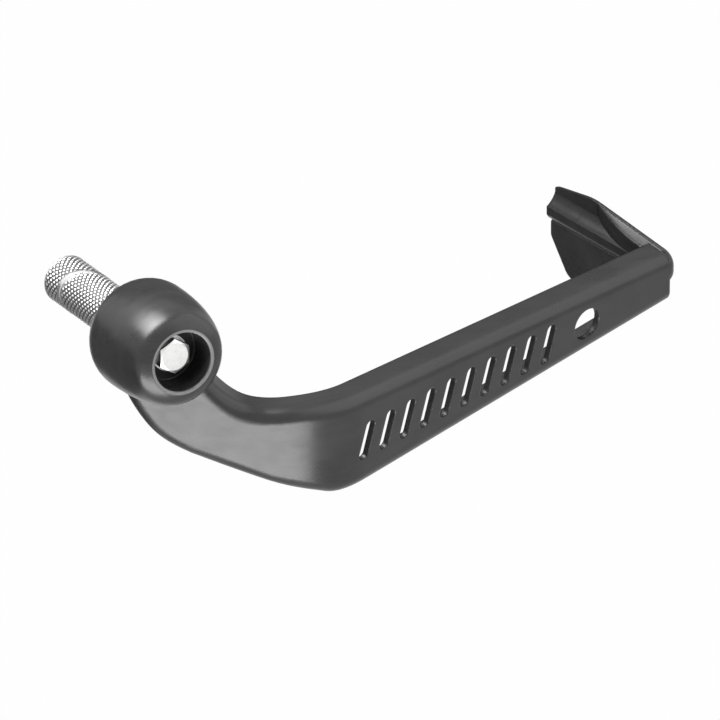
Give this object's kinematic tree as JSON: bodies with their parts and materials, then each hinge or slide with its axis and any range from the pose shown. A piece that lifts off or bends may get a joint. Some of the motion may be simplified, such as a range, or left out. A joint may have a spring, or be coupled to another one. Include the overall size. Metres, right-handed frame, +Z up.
{
  "type": "brake lever guard",
  "caption": "Bar-end brake lever guard: a moulded bulb, swan neck and vented channel blade with an end paddle, held in the bar by a bolted wedge expander.",
  "frame": {"origin": "on the handlebar's axis, where the bar's end meets the back of the bulb", "axes": "+Y along the bar axis into the bar, +X forward along the lever, +Z up"},
  "size_m": [0.2208, 0.1022, 0.0785],
  "materials": {
    "moulding": "satin moulded black",
    "bolt_steel": "zinc plated",
    "expander_metal": "bright knurled"
  },
  "bodies": {
    "root": {"guard": "moulding", "clamp_bolt": "bolt_steel", "bolt_washer": "bolt_steel", "expander_sleeve": "expander_metal", "expander_wedge": "expander_metal"}
  },
  "joints": []
}
